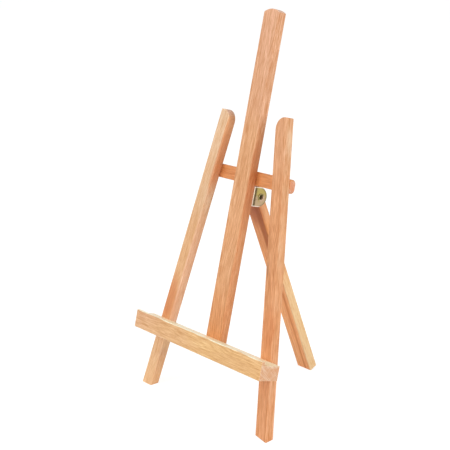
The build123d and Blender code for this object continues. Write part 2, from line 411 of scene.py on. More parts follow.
class BeechGrain(NodeGroup):
    """Colour and relief of solid beech: growth rings, streaks, fibres and short dark flecks.

    The place is in millimetres, with z along the fibres. The wood's tone drifts from the foot
    of the stick over its middle to its head.
    """

    title = "beech grain"
    inputs = {
        "Place": Socket.VECTOR,
        "Seed": Socket.VALUE,
        "Half Length": Socket.VALUE,
        "Head Tone": Socket.COLOUR,
        "Middle Tone": Socket.COLOUR,
        "Foot Tone": Socket.COLOUR,
        "Late Wood": Socket.COLOUR,
        "Pith": Socket.VECTOR,
        "Ring Spacing": Socket.VALUE,
        "Ring Depth": Socket.VALUE,
        "Streak Depth": Socket.VALUE,
        "Fleck Depth": Socket.VALUE,
    }
    outputs = {
        "Color": Socket.COLOUR,
        "Mottle": Socket.VALUE,
        "Height": Socket.VALUE,
        "Gloss": Socket.VALUE,
    }

    # Each layer of streaks: how strong it is, the size of its clouds, and its own seed.
    layers = (
        (2.5, (0.75, 0.75, 12.0), 0.0),
        (1.1, (1.6, 1.6, 34.0), 1.6),
        (0.8, (6.0, 6.0, 90.0), 3.1),
    )
    layer_roughness = 0.6
    layer_pull = (0.36, 0.62, 1.0)
    sway_grain = (26.0, 26.0, 95.0)
    sway_reach = 4.5
    drift_grain = (45.0, 45.0, 90.0)
    drift_limits = (0.25, 0.75, -0.35, 0.35)
    tone_reach = 0.9
    fibre_grain = (0.45, 0.45, 8.0)
    fibre_roughness = 0.6
    fibre_pull = (0.22, 0.40, 0.55)
    fibre_gloss = (0.3, 0.7)
    fleck_grain = (0.45, 1.1, 2.6)
    fleck_seed = 7.3
    fleck_limits = (0.62, 0.72)
    fleck_dip = 0.5
    ring_length = 0.012
    ring_sway = 0.4
    ring_gather = 2.2
    ring_close = 0.84
    ring_patch_grain = (9.0, 9.0, 45.0)
    ring_patch_limits = (0.3, 0.65, 0.25, 1.0)
    ring_dip = 0.6
    ring_shade = 0.5

    def build(self, tree: Tree, given: Outputs) -> dict[str, Wire]:
        """Build the nodes inside the group.

        Args:
            tree: The group's tree.
            given: The group's inputs.

        Returns:
            What each of the group's named outputs puts out.
        """
        place, seed = given["Place"], given["Seed"]
        aside = tree.wander(place, self.sway_grain, seed, self.sway_reach, detail=1.0)
        swayed = tree.vector("ADD", place, tree.node("CombineXYZ", X=aside).outputs[0])
        mottle = self.mottle(tree, given, swayed)
        colour = tree.tint(self.tone(tree, given), mottle, self.layer_pull)
        late = self.late_wood(tree, given, swayed, aside)
        colour = tree.mix(late, colour, given["Late Wood"])

        fibre = tree.noise(place, self.fibre_grain, seed, roughness=self.fibre_roughness)
        off_mean = tree.math("SUBTRACT", fibre, tree.noise_mean)
        colour = tree.tint(colour, off_mean, self.fibre_pull)
        own_seed = tree.math("ADD", seed, self.fleck_seed)
        fleck = tree.ramp(tree.noise(place, self.fleck_grain, own_seed, detail=1.0),
                          *self.fleck_limits)
        fleck = tree.math("MULTIPLY", fleck, given["Fleck Depth"])
        colour = tree.mix(fleck, colour, given["Late Wood"])

        height = tree.math("SUBTRACT", fibre, tree.math("MULTIPLY", late, self.ring_dip))
        height = tree.math("SUBTRACT", height, tree.math("MULTIPLY", fleck, self.fleck_dip))
        mottle = tree.math("ADD", mottle, off_mean)
        mottle = tree.math("SUBTRACT", mottle, tree.math("MULTIPLY", late, self.ring_shade))
        return {
            "Color": colour,
            "Mottle": mottle,
            "Height": height,
            "Gloss": tree.ramp(fibre, *self.fibre_gloss),
        }

    def mottle(self, tree: Tree, given: Outputs, swayed: Wire) -> Wire:
        """Add up the layers of streaks.

        Args:
            tree: The group's tree.
            given: The group's inputs.
            swayed: The place, moved aside as the fibres wander.

        Returns:
            How much paler the wood is, or deeper where it is negative.
        """
        total = -tree.noise_mean * sum(share for share, _, _ in self.layers)
        for share, grain, shift in self.layers:
            seed = tree.math("ADD", given["Seed"], shift)
            cloud = tree.noise(swayed, grain, seed, roughness=self.layer_roughness)
            total = tree.math("MULTIPLY_ADD", cloud, share, total)
        return tree.math("MULTIPLY", total, given["Streak Depth"])

    def tone(self, tree: Tree, given: Outputs) -> Wire:
        """Drift from one tone to the next along the stick.

        Args:
            tree: The group's tree.
            given: The group's inputs.

        Returns:
            The tone.
        """
        drift = tree.noise(given["Place"], self.drift_grain, given["Seed"], detail=1.0)
        along = tree.math("DIVIDE", tree.parts(given["Place"])["Z"], given["Half Length"])
        along = tree.math("ADD", along, tree.ramp(drift, *self.drift_limits))
        lower = tree.ramp(along, -self.tone_reach, 0.0)
        upper = tree.ramp(along, 0.0, self.tone_reach)
        tone = tree.mix(lower, given["Foot Tone"], given["Middle Tone"])
        return tree.mix(upper, tone, given["Head Tone"])

    def late_wood(self, tree: Tree, given: Outputs, swayed: Wire, aside: Wire) -> Wire:
        """Mark the dark line that ends each growth ring.

        Args:
            tree: The group's tree.
            given: The group's inputs.
            swayed: The place, moved aside as the fibres wander.
            aside: How far it is moved.

        Returns:
            The mask of the dark lines.
        """
        from_pith = tree.vector("SUBTRACT", swayed, given["Pith"])
        from_pith = tree.vector("MULTIPLY", from_pith, (1.0, 1.0, self.ring_length))
        radius = tree.vector("LENGTH", from_pith)
        radius = tree.math("MULTIPLY_ADD", aside, self.ring_sway, radius)
        turns = tree.math("FRACT", tree.math("DIVIDE", radius, given["Ring Spacing"]))
        line = tree.math("MULTIPLY", tree.math("POWER", turns, self.ring_gather),
                         tree.ramp(turns, 1.0, self.ring_close))
        patchy = tree.noise(given["Place"], self.ring_patch_grain, given["Seed"], detail=1.0)
        line = tree.math("MULTIPLY", line, tree.ramp(patchy, *self.ring_patch_limits))
        return tree.math("MULTIPLY", line, given["Ring Depth"])


class FibreBand(NodeGroup):
    """A band of other colour that runs with the fibres: a streak in the wood, painted light, or
    painted shade.
    """

    title = "fibre band"
    inputs = {
        "Place": Socket.VECTOR,
        "Seed": Socket.VALUE,
        "Centre": Socket.VECTOR,
        "Half Size": Socket.VECTOR,
        "Slant": Socket.VALUE,
        "Depth": Socket.VALUE,
    }
    outputs = {"Mask": Socket.VALUE}

    sway_grain = (9.0, 9.0, 26.0)
    sway_reach = 0.8
    fade = (1.35, 0.45)  # where the band starts and is full, as shares of its half size

    def build(self, tree: Tree, given: Outputs) -> dict[str, Wire]:
        """Build the nodes inside the group.

        Args:
            tree: The group's tree.
            given: The group's inputs.

        Returns:
            What each of the group's named outputs puts out.
        """
        place = given["Place"]
        aside = tree.wander(place, self.sway_grain, given["Seed"], self.sway_reach)
        aside = tree.math("MULTIPLY_ADD", tree.parts(place)["Z"], given["Slant"], aside)
        offset = tree.vector("SUBTRACT", place, given["Centre"])
        offset = tree.vector("SUBTRACT", offset, tree.node("CombineXYZ", X=aside).outputs[0])
        share = tree.vector("LENGTH", tree.vector("DIVIDE", offset, given["Half Size"]))
        return {"Mask": tree.math("MULTIPLY", tree.ramp(share, *self.fade), given["Depth"])}


class FaceKind(NodeGroup):
    """Which kind of surface a point of a stick lies on: sawn across the fibres, or eased."""

    title = "face kind"
    inputs = {"Facing": Socket.VECTOR}
    outputs = {"Sawn End": Socket.VALUE, "Eased Edge": Socket.VALUE}

    sawn_limits = (0.55, 0.9)
    eased_limits = (0.985, 0.9)

    def build(self, tree: Tree, given: Outputs) -> dict[str, Wire]:
        """Build the nodes inside the group.

        Args:
            tree: The group's tree.
            given: The group's inputs.

        Returns:
            What each of the group's named outputs puts out.
        """
        facing = tree.parts(given["Facing"])
        along = tree.math("ABSOLUTE", facing["Z"])
        through = tree.math("ABSOLUTE", facing["Y"])
        outline = tree.math("SUBTRACT", 1.0, tree.math("MULTIPLY", through, through),
                            clamp=True)
        flattest = tree.math("MAXIMUM", through, tree.math("SQRT", outline))
        return {
            "Sawn End": tree.ramp(along, *self.sawn_limits),
            "Eased Edge": tree.ramp(flattest, *self.eased_limits),
        }


class SawnEnd(NodeGroup):
    """Fine crossed marks that a saw leaves across the fibres, and the open pores."""

    title = "sawn end"
    inputs = {"Place": Socket.VECTOR, "Seed": Socket.VALUE}
    outputs = {"Marks": Socket.VALUE, "Pores": Socket.VALUE}

    strokes = ((40.0, 1.0), (-48.0, 0.4))  # direction in degrees, and how strong
    stroke_grain = (1.1, 14.0, 40.0)
    stroke_limits = (0.46, 0.66)
    pore_grain = (0.35, 0.35, 6.0)
    pore_limits = (0.6, 0.7)

    def build(self, tree: Tree, given: Outputs) -> dict[str, Wire]:
        """Build the nodes inside the group.

        Args:
            tree: The group's tree.
            given: The group's inputs.

        Returns:
            What each of the group's named outputs puts out.
        """
        place, seed = given["Place"], given["Seed"]
        lines = []
        for direction, share in self.strokes:
            turned = tree.spin(place, "Z", direction)
            stroke = tree.noise(turned, self.stroke_grain, seed, detail=1.0)
            stroke = tree.ramp(stroke, *self.stroke_limits)
            lines.append(tree.math("MULTIPLY", stroke, share))
        pores = tree.noise(place, self.pore_grain, seed, detail=0.0)
        return {
            "Marks": tree.math("MAXIMUM", *lines),
            "Pores": tree.ramp(pores, *self.pore_limits),
        }


class ZincBloom(NodeGroup):
    """Yellow zinc plating: clouds of yellow and pale bloom, fine scratches and dull spots."""

    title = "zinc bloom"
    inputs = {
        "Place": Socket.VECTOR,
        "Seed": Socket.VALUE,
        "Yellow": Socket.COLOUR,
        "Pale": Socket.COLOUR,
        "Dull": Socket.COLOUR,
        "Pale Share": Socket.VALUE,
    }
    outputs = {"Color": Socket.COLOUR, "Height": Socket.VALUE, "Wear": Socket.VALUE}

    cloud_grain = (4.5, 4.5, 4.5)
    cloud_contrast = 2.6
    spot_grain = (1.1, 1.1, 1.1)
    spot_seed = 5.7
    spot_limits = (0.56, 0.72)
    spot_share = 0.55
    spot_wear = 0.6
    scratch_turn_deg = 28.0
    scratch_grain = (0.25, 0.12, 7.0)
    scratch_limits = (0.6, 0.7)
    scratch_dip = 0.8
    grit_grain = (0.3, 0.3, 0.3)
    grit_wear = 0.4

    def build(self, tree: Tree, given: Outputs) -> dict[str, Wire]:
        """Build the nodes inside the group.

        Args:
            tree: The group's tree.
            given: The group's inputs.

        Returns:
            What each of the group's named outputs puts out.
        """
        place, seed = given["Place"], given["Seed"]
        cloud = tree.math("SUBTRACT", tree.noise(place, self.cloud_grain, seed),
                          tree.noise_mean)
        cloud = tree.math("MULTIPLY", cloud, self.cloud_contrast)
        pale = tree.math("ADD", cloud, given["Pale Share"], clamp=True)
        colour = tree.mix(pale, given["Yellow"], given["Pale"])
        own_seed = tree.math("ADD", seed, self.spot_seed)
        spots = tree.ramp(tree.noise(place, self.spot_grain, own_seed), *self.spot_limits)
        colour = tree.mix(tree.math("MULTIPLY", spots, self.spot_share), colour,
                          given["Dull"])
        turned = tree.spin(place, "X", self.scratch_turn_deg)
        scratch = tree.ramp(tree.noise(turned, self.scratch_grain, seed, detail=1.0),
                            *self.scratch_limits)
        grit = tree.noise(place, self.grit_grain, seed)
        return {
            "Color": colour,
            "Height": tree.math("SUBTRACT", grit,
                                tree.math("MULTIPLY", scratch, self.scratch_dip)),
            "Wear": tree.math("ADD", tree.math("MULTIPLY", spots, self.spot_wear),
                              tree.math("MULTIPLY", grit, self.grit_wear), clamp=True),
        }


@dataclass(frozen=True)
class Groups:
    """The node groups that the finishes share."""

    grain: BeechGrain
    band: FibreBand
    faces: FaceKind
    sawn: SawnEnd
    zinc: ZincBloom


# ---- Finishes ---------------------------------------------------------------------------
@dataclass(frozen=True)
class Lie:
    """How a piece lies in the easel: its own axes, x across, y through and z along it."""

    origin: Vector
    across: Vector
    through: Vector
    along: Vector

    def place(self, tree: Tree) -> Wire:
        """Read a point's place on the piece, in millimetres along the piece's own axes."""
        return self.own_axes(tree, "Object", self.origin, MM)

    def facing(self, tree: Tree) -> Wire:
        """Read which way the surface faces, along the piece's own axes."""
        return self.own_axes(tree, "Normal", Vector(), 1.0)

    def own_axes(self, tree: Tree, output: str, origin: Vector, unit: float) -> Wire:
        """Turn one of the texture coordinates to the piece's own axes.

        Args:
            tree: The material's tree.
            output: The texture coordinate.
            origin: What is taken off before the turn.
            unit: The length that becomes 1.

        Returns:
            The turned coordinate.
        """
        axes = Matrix((self.across, self.through, self.along)).transposed()
        turned = tree.node(
            "Mapping",
            vector_type="TEXTURE",
            Vector=tree.node("TexCoord").outputs[output],
            Location=origin,
            Rotation=tuple(axes.to_euler("XYZ")),
            Scale=(unit, unit, unit),
        )
        return turned.outputs[0]


@dataclass(frozen=True)
class Band:
    """One band of other colour in a stick: a streak in the wood, painted light, or painted
    shade.
    Lengths are in millimetres on the stick's axes.
    """

    tone: Colour
    centre: Triple
    half_size: Triple
    depth: float
    slant: float = 0.0


@dataclass(frozen=True)
class Beech:
    """Finish of one stick of planed and sanded beech. Lengths are in millimetres.

    A pull says how strongly red, green and blue follow where the wood is paler or deeper. The
    relief is its strength and its depth.
    """

    name: str
    seed: float
    half_length: float
    head: Colour
    middle: Colour
    foot: Colour
    late: Colour = (0.55, 0.20, 0.075)
    pith: Point = (38.0, 30.0)
    ring_spacing: float = 3.0
    ring_depth: float = 0.45
    streak_depth: float = 1.0
    fleck_depth: float = 0.4
    bands: tuple[Band, ...] = ()
    band_pull: Colour = (0.16, 0.36, 0.60)
    sawn_tone: Colour = (0.70, 0.38, 0.25)
    sawn_share: float = 0.75
    saw_mark: Colour = (0.88, 0.72, 0.58)
    saw_mark_share: float = 0.8
    pore_share: float = 0.5
    # Painted highlight: eased edges are made paler, as if they catch the light.
    edge_highlight_share: float = 0.5
    edge_highlight_pull: Colour = (0.06, 0.16, 0.30)
    roughness: Point = (0.40, 0.56)
    relief: Point = (0.12, 0.2)

    def material(self, lie: Lie, groups: Groups) -> bpy.types.Material:
        """Make the material for a stick that lies a certain way.

        Args:
            lie: The stick's own axes.
            groups: The shared node groups.

        Returns:
            The material.
        """
        made, tree = blank_material(self.name)
        place = lie.place(tree)
        grain = groups.grain.place(
            tree,
            Place=place,
            Seed=self.seed,
            Half_Length=self.half_length,
            Head_Tone=self.head,
            Middle_Tone=self.middle,
            Foot_Tone=self.foot,
            Late_Wood=self.late,
            Pith=(*self.pith, 0.0),
            Ring_Spacing=self.ring_spacing,
            Ring_Depth=self.ring_depth,
            Streak_Depth=self.streak_depth,
            Fleck_Depth=self.fleck_depth,
        )
        colour = grain["Color"]
        for band in self.bands:
            mask = groups.band.place(
                tree,
                Place=place,
                Seed=self.seed,
                Centre=band.centre,
                Half_Size=band.half_size,
                Slant=band.slant,
                Depth=band.depth,
            )["Mask"]
            tone = tree.tint(band.tone, grain["Mottle"], self.band_pull)
            colour = tree.mix(mask, colour, tone)

        faces = groups.faces.place(tree, Facing=lie.facing(tree))
        sawn = tree.math("MULTIPLY", faces["Sawn End"], self.sawn_share)
        colour = tree.mix(sawn, colour, self.sawn_end(tree, groups, place))
        # Painted highlight on the eased edges.
        eased = tree.math("MULTIPLY", faces["Eased Edge"], self.edge_highlight_share)
        colour = tree.tint(colour, eased, self.edge_highlight_pull)
        tree.surface(colour, grain["Gloss"], self.roughness, grain["Height"], self.relief)
        return made

    def sawn_end(self, tree: Tree, groups: Groups, place: Wire) -> Wire:
        """Colour the wood where it is sawn across the fibres.

        Args:
            tree: The material's tree.
            groups: The shared node groups.
            place: The place on the stick.

        Returns:
            The colour of a sawn end, with its saw marks and its pores.
        """
        sawn = groups.sawn.place(tree, Place=place, Seed=self.seed)
        marks = tree.math("MULTIPLY", sawn["Marks"], self.saw_mark_share)
        pores = tree.math("MULTIPLY", sawn["Pores"], self.pore_share)
        return tree.mix(pores, tree.mix(marks, self.sawn_tone, self.saw_mark), self.late)


@dataclass(frozen=True)
class Zinc:
    """Yellow zinc plating on steel. The relief is its strength and its depth in millimetres."""

    name: str
    seed: float
    yellow: Colour = (0.50, 0.40, 0.11)
    pale: Colour = (0.56, 0.43, 0.26)
    dull: Colour = (0.26, 0.19, 0.08)
    pale_share: float = 0.5
    roughness: Point = (0.26, 0.48)
    relief: Point = (0.10, 0.05)

    def material(self, lie: Lie, groups: Groups) -> bpy.types.Material:
        """Make the material for a piece that lies a certain way.

        Args:
            lie: The piece's own axes.
            groups: The shared node groups.

        Returns:
            The material.
        """
        made, tree = blank_material(self.name)
        place = lie.place(tree)
        bloom = groups.zinc.place(
            tree,
            Place=place,
            Seed=self.seed,
            Yellow=self.yellow,
            Pale=self.pale,
            Dull=self.dull,
            Pale_Share=self.paleness(tree, place),
        )
        colour = self.painted_light_and_marks(tree, lie, place, bloom["Color"])
        tree.surface(colour, bloom["Wear"], self.roughness, bloom["Height"], self.relief,
                     self.metal(tree, place))
        return made

    def paleness(self, tree: Tree, place: Wire) -> float | Wire:
        """Give how much of the plating is pale bloom: the same share everywhere."""
        return self.pale_share

    def metal(self, tree: Tree, place: Wire) -> float | Wire:
        """Give how much of the surface is bare metal: all of it."""
        return 1.0

    def painted_light_and_marks(self, tree: Tree, lie: Lie, place: Wire, colour: Wire) -> Wire:
        """Give the plating's colour with no painted light or shade added."""
        return colour


@dataclass(frozen=True)
class RolledZinc(Zinc):
    """Plating of the rivet, with painted light on one side of its mouths and painted shade in
    them.

    Lengths are in millimetres from the rivet's own axis.
    """

    # Painted light and shade in the mouths: pale plating on the lit side, a painted dark inside
    # elsewhere, and less metal there so these colours show.
    mouth_radius: float = 3.3
    mouth_fade: float = 0.3
    lit_side: Point = (0.8, -0.6)
    lit_side_limits: Point = (-0.9, 1.5)
    mouth_shade: Colour = (0.13, 0.105, 0.005)
    bare: float = 0.2

    def lit_side_mask(self, tree: Tree, place: Wire) -> Wire:
        """Mark the side of the mouths that is painted as lit.

        Args:
            tree: The material's tree.
            place: The place on the rivet.

        Returns:
            The mask.
        """
        towards = tree.vector("DOT_PRODUCT", place, (0.0, *self.lit_side))
        return tree.ramp(towards, *self.lit_side_limits)

    def inside(self, tree: Tree, place: Wire) -> Wire:
        """Mark the mouths and the bore.

        Args:
            tree: The material's tree.
            place: The place on the rivet.

        Returns:
            The mask.
        """
        return tree.ramp(tree.off_axis(place), self.mouth_radius + self.mouth_fade,
                         self.mouth_radius - self.mouth_fade)

    def paleness(self, tree: Tree, place: Wire) -> float | Wire:
        """Give how pale the plating is: pale on the lit side of the mouths, as painted light.
        """
        return self.lit_side_mask(tree, place)

    def metal(self, tree: Tree, place: Wire) -> float | Wire:
        """Give how much of the surface is bare metal: little of it inside."""
        return tree.ramp(self.inside(tree, place), 0.0, 1.0, 1.0, self.bare)

    def painted_light_and_marks(self, tree: Tree, lie: Lie, place: Wire, colour: Wire) -> Wire:
        """Paint shade into the mouths and the bore, away from the lit side.

        Args:
            tree: The material's tree.
            lie: How the rivet lies; not used.
            place: The place on the rivet.
            colour: The colour of the plating.

        Returns:
            The colour with its painted light and shade.
        """
        # Painted shade inside the mouths, except on the lit side.
        lit_share = self.lit_side_mask(tree, place)
        shaded_share = tree.math("MULTIPLY", self.inside(tree, place),
                           tree.math("SUBTRACT", 1.0, lit_share))
        return tree.mix(shaded_share, colour, self.mouth_shade)


@dataclass(frozen=True)
class BentZinc(Zinc):
    """Plating of the bent bracket.

    It carries painted shade beside each bend, is darker round the blanked end, and has painted
    highlights on its rims, on its bends, and along its upper and lower edges. Lengths are in
    millimetres on the bracket's axes, from the rivet. A fade gives how far from its line a mark
    starts and is full: in half widths for the line of painted shade beside each bend, and
    inwards from the blank's radius for the others. The darkening round the blank starts and is
    full at two places from front to back.
    """

    pale_heights: Point = (5.0, -3.0)
    # Painted shade: a patchy dark line beside each bend, standing for the shade and dark
    # reflection in the bend.
    bend_shade_middle: float = -8.5
    bend_shade_half_width: float = 1.5
    bend_shade_fade: Point = (1.5, 0.5)
    bend_shade_patch_grain: Triple = (3.0, 3.0, 2.4)
    bend_shade_patch_limits: Limits = (0.3, 0.6, 0.7, 1.0)
    blank_centre: float = -2.7
    blank_radius: float = 10.8
    blank_fade: Point = (2.4, 0.2)
    blank_behind: Point = (-4.0, 0.0)
    # How dark the ears are round the blanked end; the dark colour below also serves the painted
    # shade beside each bend.
    blank_darkening: float = 0.55
    dark_tone: Colour = (0.13, 0.09, 0.045)
    # Painted highlight colour and strengths, for the upper and lower edges and for the rims and
    # bends.
    highlight_tone: Colour = (1.0, 0.86, 0.72)
    edge_highlight_fade: Point = (1.3, 0.5)
    edge_highlight_strength: float = 0.75
    rim_limits: Point = (0.97, 0.75)
    bend_highlight_strength: float = 0.9

    def paleness(self, tree: Tree, place: Wire) -> float | Wire:
        """Give how much of the plating is pale bloom: more of it lower down."""
        up = tree.parts(place)["Z"]
        return tree.ramp(up, *self.pale_heights, 0.0, self.pale_share)

    def inwards(self, tree: Tree, distance: Wire, fade: Point, share: float = 1.0) -> Wire:
        """Mark what lies near the blank's radius or beyond it.

        Args:
            tree: The material's tree.
            distance: How far the place is from the blank's middle.
            fade: How far inside the radius the mark starts and is full.
            share: How strong the mark is there.

        Returns:
            The mask.
        """
        start, full = fade
        return tree.ramp(distance, self.blank_radius - start, self.blank_radius - full, 0.0,
                         share)

    def bend_shade_mark(self, tree: Tree, place: Wire) -> Wire:
        """Mark the patchy line of painted shade beside each bend.

        Args:
            tree: The material's tree.
            place: The place on the bracket.

        Returns:
            The mask.
        """
        off = tree.math("SUBTRACT", tree.parts(place)["Y"], self.bend_shade_middle)
        patch = tree.noise(place, self.bend_shade_patch_grain, self.seed, detail=1.0)
        line = tree.ramp(tree.math("ABSOLUTE", off),
                         *(self.bend_shade_half_width * share for share in self.bend_shade_fade))
        return tree.math("MULTIPLY", line, tree.ramp(patch, *self.bend_shade_patch_limits))

    def end_mark(self, tree: Tree, place: Wire) -> Wire:
        """Mark the darkening round the blanked end of each ear.

        Args:
            tree: The material's tree.
            place: The place on the bracket.

        Returns:
            The mask.
        """
        from_centre = tree.vector("SUBTRACT", place, (0.0, self.blank_centre, 0.0))
        near_end = self.inwards(tree, tree.off_axis(from_centre), self.blank_fade)
        behind = tree.ramp(tree.parts(place)["Y"], *self.blank_behind)
        near_end = tree.math("MULTIPLY", near_end, behind)
        return tree.math("MULTIPLY", near_end, self.blank_darkening)

    def painted_light_and_marks(self, tree: Tree, lie: Lie, place: Wire, colour: Wire) -> Wire:
        """Paint shade beside the bend, darken the ears round the end, and paint highlights on
        rims and edges.

        Args:
            tree: The material's tree.
            lie: How the bracket lies.
            place: The place on the bracket.
            colour: The colour of the plating.

        Returns:
            The colour with its painted shade, its darkening and its painted highlights.
        """
        # Painted highlights along the upper and lower edges, and on the rims and bends.
        off_middle = tree.math("ABSOLUTE", tree.parts(place)["Z"])
        edge = self.inwards(tree, off_middle, self.edge_highlight_fade, self.edge_highlight_strength)
        outwards = tree.math("ABSOLUTE", tree.parts(lie.facing(tree))["X"])
        rim = tree.ramp(outwards, *self.rim_limits, 0.0, self.bend_highlight_strength)
        for mask, tone in (
            (self.bend_shade_mark(tree, place), self.dark_tone),
            (self.end_mark(tree, place), self.dark_tone),
            (edge, self.highlight_tone),
            (rim, self.highlight_tone),
        ):
            colour = tree.mix(mask, colour, tone)
        return colour


# ---- Mesh tools -------------------------------------------------------------------------
Groove = Callable[[float, float], float]


def turn(
    profile: Sequence[Point], steps: int, tube: bool = False, groove: Groove | None = None
) -> bmesh.types.BMesh:
    """Turn a profile round the z axis into a closed shape.

    Args:
        profile: Radius and height of each point, in millimetres.
        steps: How many points go round.
        tube: Whether the last point joins the first. Otherwise both ends lie on the axis.
        groove: How deep the surface is cut at an angle and a height.

    Returns:
        The shape.
    """
    made = bmesh.new()
    rings = []
    for radius, height in profile:
        ring = []
        for step in range(steps if radius else 1):
            angle = step * math.tau / steps
            reach = radius - groove(angle, height) if groove else radius
            ring.append(made.verts.new(
                (reach * math.cos(angle), reach * math.sin(angle), height)))
        rings.append(ring)
    for above, below in zip(rings, rings[1:] + rings[:1] if tube else rings[1:]):
        for step in range(steps):
            corners = (above[step % len(above)], below[step % len(below)],
                       below[(step + 1) % len(below)], above[(step + 1) % len(above)])
            made.faces.new(list(dict.fromkeys(corners)))
    bmesh.ops.recalc_face_normals(made, faces=made.faces)
    return made


def arc(
    middle: Point, radii: Point, start_deg: float, end_deg: float, steps: int
) -> list[Point]:
    """Give the points of an arc of an ellipse, both ends among them.

    Args:
        middle: The ellipse's middle.
        radii: Its half widths.
        start_deg: Angle of the first point.
        end_deg: Angle of the last point.
        steps: How many parts the arc has.

    Returns:
        The points.
    """
    points = []
    for step in range(steps + 1):
        angle = math.radians(start_deg + (end_deg - start_deg) * step / steps)
        points.append((middle[0] + radii[0] * math.cos(angle),
                       middle[1] + radii[1] * math.sin(angle)))
    return points


def crease(made: bmesh.types.BMesh, sharper_than_deg: float) -> None:
    """Shade a shape smooth, apart from its sharp edges.

    Args:
        made: The shape.
        sharper_than_deg: The least angle of an edge that stays sharp.
    """
    limit = math.radians(sharper_than_deg)
    for face in made.faces:
        face.smooth = True
    for edge in made.edges:
        edge.smooth = edge.is_manifold and edge.calc_face_angle(0.0) < limit


def piece(name: str, made: bmesh.types.BMesh) -> bpy.types.Object:
    """Turn a shape into an object of the scene.

    Args:
        name: The object's name.
        made: The shape, which is used up.

    Returns:
        The object.
    """
    mesh = bpy.data.meshes.new(name)
    made.to_mesh(mesh)
    made.free()
    placed = bpy.data.objects.new(name, mesh)
    bpy.context.scene.collection.objects.link(placed)
    return placed


def carve(body: bmesh.types.BMesh, cutter: bmesh.types.BMesh) -> bmesh.types.BMesh:
    """Cut one shape out of another.

    Args:
        body: The shape that is cut, which is used up.
        cutter: The shape that is taken away, which is used up.

    Returns:
        What is left.
    """
    kept, tool = piece("kept", body), piece("tool", cutter)
    cut = kept.modifiers.new("cut", "BOOLEAN")
    cut.operation, cut.solver, cut.object = "DIFFERENCE", "EXACT", tool
    bpy.context.view_layer.update()
    result = bmesh.new()
    result.from_object(kept, bpy.context.evaluated_depsgraph_get())
    bmesh.ops.remove_doubles(result, verts=result.verts, dist=SLIVER)
    for spent in (kept, tool):
        mesh = spent.data
        bpy.data.objects.remove(spent)
        bpy.data.meshes.remove(mesh)
    return result


# ---- The easel --------------------------------------------------------------------------
@dataclass(frozen=True)
class Stance:
    """Directions and points of the easel that its pieces are placed by."""

    up: Vector
    back: Vector
    seat: Vector
    pivot: Vector
    opening: float

    @classmethod
    def read(cls, frame: dict) -> "Stance":
        """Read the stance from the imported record.


        Returns:
            The stance.
        """
        mounts = {mount["name"]: mount for mount in frame["record"]["mounts"]}
        up = Vector(mounts["ledge_top"]["axis"]).normalized()
        fold = frame["joints"][0]
        return cls(up=up, back=up.cross(RIGHT), seat=Vector(mounts["ledge_top"]["pos_m"]),
                   pivot=Vector(fold["pos_m"]), opening=-math.radians(fold["range_deg"][0]))


def middle_of(node: str) -> Vector:
    """Give the middle of a CAD node's box."""
    low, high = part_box(node)
    return (low + high) / 2


def dress(node: bpy.types.Object, material: bpy.types.Material) -> None:
    """Put one material on all of a piece.

    Args:
        node: The piece.
        material: The material.
    """
    if not node.material_slots:
        node.data.materials.append(material)
    for slot in node.material_slots:
        slot.material = material


